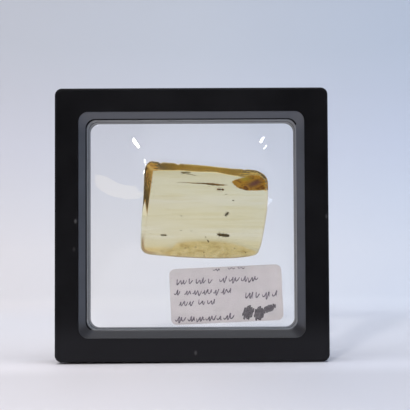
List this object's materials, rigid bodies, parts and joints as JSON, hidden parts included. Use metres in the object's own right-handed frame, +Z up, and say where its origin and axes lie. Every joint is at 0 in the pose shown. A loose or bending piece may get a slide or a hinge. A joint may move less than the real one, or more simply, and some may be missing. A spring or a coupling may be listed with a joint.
{
  "type": "framed amber specimen",
  "caption": "Slab of pale amber with trapped insects and a blank label, held between two clear films in a square black display frame that stands on its edge.",
  "frame": {"origin": "centre of the frame's outline on the surface it stands on", "axes": "+X across the frame to the viewer's right, +Y from the front (label side) to the back, +Z up; the front faces -Y"},
  "size_m": [0.11, 0.02, 0.11],
  "materials": {
    "black_plastic": "fine matte moulding",
    "clear_film": "clear, glossy",
    "amber": "polished, clear",
    "dark_chitin": "satin",
    "brown_chitin": "satin",
    "bark": "rough",
    "label_paper": "matte"
  },
  "bodies": {
    "root": {"frame_front": "black_plastic", "frame_back": "black_plastic", "film_front": "clear_film", "film_back": "clear_film", "amber_front": "amber", "amber_back": "amber", "beetle_large": "dark_chitin", "beetle_small": "dark_chitin", "ant": "brown_chitin", "fly": "dark_chitin", "gnat": "dark_chitin", "plant_strand": "bark", "bark_flake": "bark", "label": "label_paper"}
  },
  "joints": []
}
